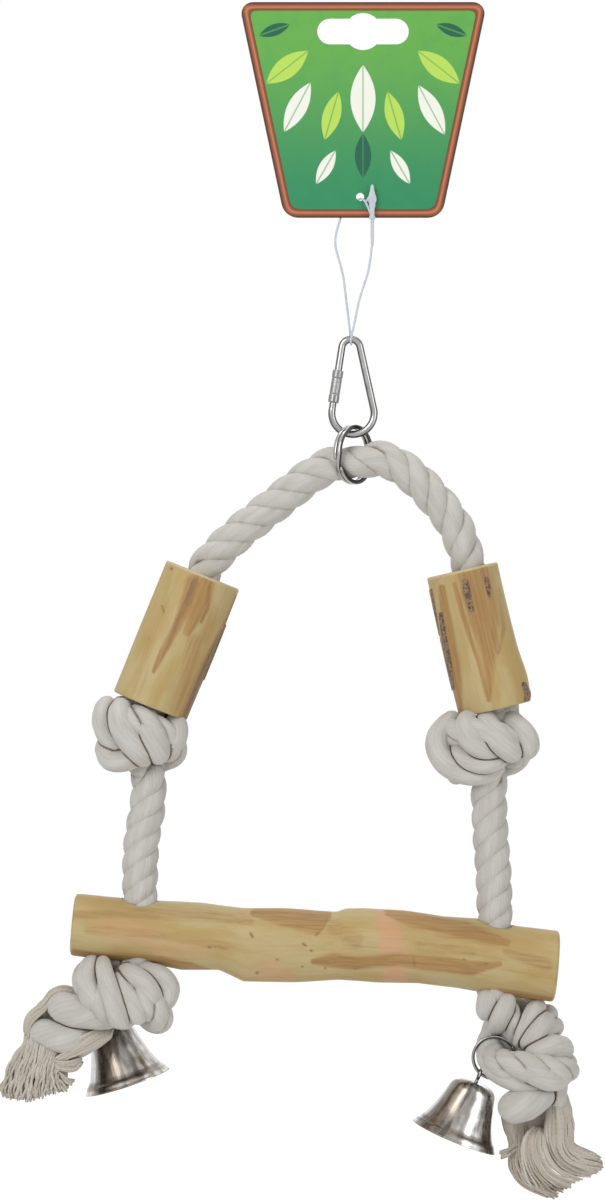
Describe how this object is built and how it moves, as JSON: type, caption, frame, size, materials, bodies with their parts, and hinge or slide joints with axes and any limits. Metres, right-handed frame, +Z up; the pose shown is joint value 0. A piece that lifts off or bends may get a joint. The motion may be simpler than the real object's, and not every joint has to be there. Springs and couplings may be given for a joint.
{
  "type": "bird swing",
  "caption": "Hanging bird swing: cotton rope arch with turning wood blocks and knots, a round wood perch on drop ropes, pressed bells, and the link, loop and card it is sold on.",
  "frame": {"origin": "middle of the card's hanging slot, at the top of its round bump, where a display peg bears, halfway through the card", "axes": "+Z up, +X to the right seen from the front, and the front faces -Y"},
  "size_m": [0.2099, 0.0455, 0.4167],
  "materials": {
    "printed_card": "glossy printed board, green fading to dark teal, brown border",
    "nylon": "clear white nylon",
    "steel_wire": "bright plated steel wire",
    "steel_nut": "turned and knurled steel",
    "steel_ring": "bright nickel plate",
    "cotton_rope": "matt natural cotton, three strands",
    "cotton_yarn": "matt loose cotton yarn",
    "branch_wood": "peeled branch, sanded, left bare",
    "perch_wood": "peeled branch, sanded, left bare",
    "bell_steel": "bright nickel-plated pressed steel"
  },
  "bodies": {
    "card": {"header_card": "printed_card"},
    "loop": {"tag_loop": "nylon"},
    "link": {"link_body": "steel_wire"},
    "nut": {"link_sleeve": "steel_nut"},
    "ring": {"rope_ring": "steel_ring"},
    "arch": {"arch_rope": "cotton_rope", "left_upper_knot": "cotton_rope", "right_upper_knot": "cotton_rope"},
    "left_block": {"left_block": "branch_wood"},
    "right_block": {"right_block": "branch_wood"},
    "trapeze": {"left_drop_rope": "cotton_rope", "right_drop_rope": "cotton_rope", "perch": "perch_wood", "left_lower_knot": "cotton_rope", "right_lower_knot": "cotton_rope", "left_tassel": "cotton_yarn", "right_tassel": "cotton_yarn", "left_bell_ring": "steel_ring", "right_bell_ring": "steel_ring"},
    "left_bell": {"left_bell_hanger": "steel_wire", "left_bell": "bell_steel"},
    "right_bell": {"right_bell_hanger": "steel_wire", "right_bell": "bell_steel"},
    "left_clapper": {"left_clapper": "steel_ring"},
    "right_clapper": {"right_clapper": "steel_ring"}
  },
  "joints": [
    {"name": "loop_swing", "type": "hinge", "parent": "card", "child": "loop", "pos_m": [-0.001, 0, -0.0651], "axis": [0, 1, 0], "range_deg": [-20, 20]},
    {"name": "link_swing", "type": "hinge", "parent": "loop", "child": "link", "pos_m": [-0.0042, 0, -0.1142], "axis": [1, 0, 0], "range_deg": [-30, 30]},
    {"name": "sleeve_travel", "type": "slide", "parent": "link", "child": "nut", "axis": [0.1549, 0, 0.9879], "range_m": [0, 0.006]},
    {"name": "ring_turn", "type": "hinge", "parent": "link", "child": "ring", "pos_m": [-0.00328, 0, -0.14749], "axis": [1, 0, 0], "range_deg": [-30, 30]},
    {"name": "arch_rock", "type": "hinge", "parent": "ring", "child": "arch", "pos_m": [-0.00328, 0, -0.16244], "axis": [0, 1, 0], "range_deg": [-10, 10]},
    {"name": "left_block_turn", "type": "hinge", "parent": "arch", "child": "left_block", "pos_m": [-0.07448, 0, -0.24254], "axis": [0.3746, 0, 0.9272], "continuous": true},
    {"name": "right_block_turn", "type": "hinge", "parent": "arch", "child": "right_block", "pos_m": [0.04842, 0, -0.24304], "axis": [-0.225, 0, 0.9744], "continuous": true},
    {"name": "perch_swing", "type": "hinge", "parent": "arch", "child": "trapeze", "pos_m": [-0.00328, 0, -0.27254], "axis": [1, 0, 0], "range_deg": [-25, 25]},
    {"name": "left_bell_swing", "type": "hinge", "parent": "trapeze", "child": "left_bell", "pos_m": [-0.09048, 0.0125, -0.35259], "axis": [0, 1, 0], "range_deg": [-15, 0]},
    {"name": "right_bell_swing", "type": "hinge", "parent": "trapeze", "child": "right_bell", "pos_m": [0.04096, 0, -0.371], "axis": [0.7431, 0, -0.6691], "range_deg": [-20, 20]},
    {"name": "left_clapper_swing", "type": "hinge", "parent": "left_bell", "child": "left_clapper", "pos_m": [-0.08813, 0.0125, -0.35981], "axis": [0, 1, 0], "range_deg": [-60, 25]},
    {"name": "right_clapper_swing", "type": "hinge", "parent": "right_bell", "child": "right_clapper", "pos_m": [0.03805, 0, -0.37803], "axis": [0, 1, 0], "range_deg": [-25, 60]}
  ]
}
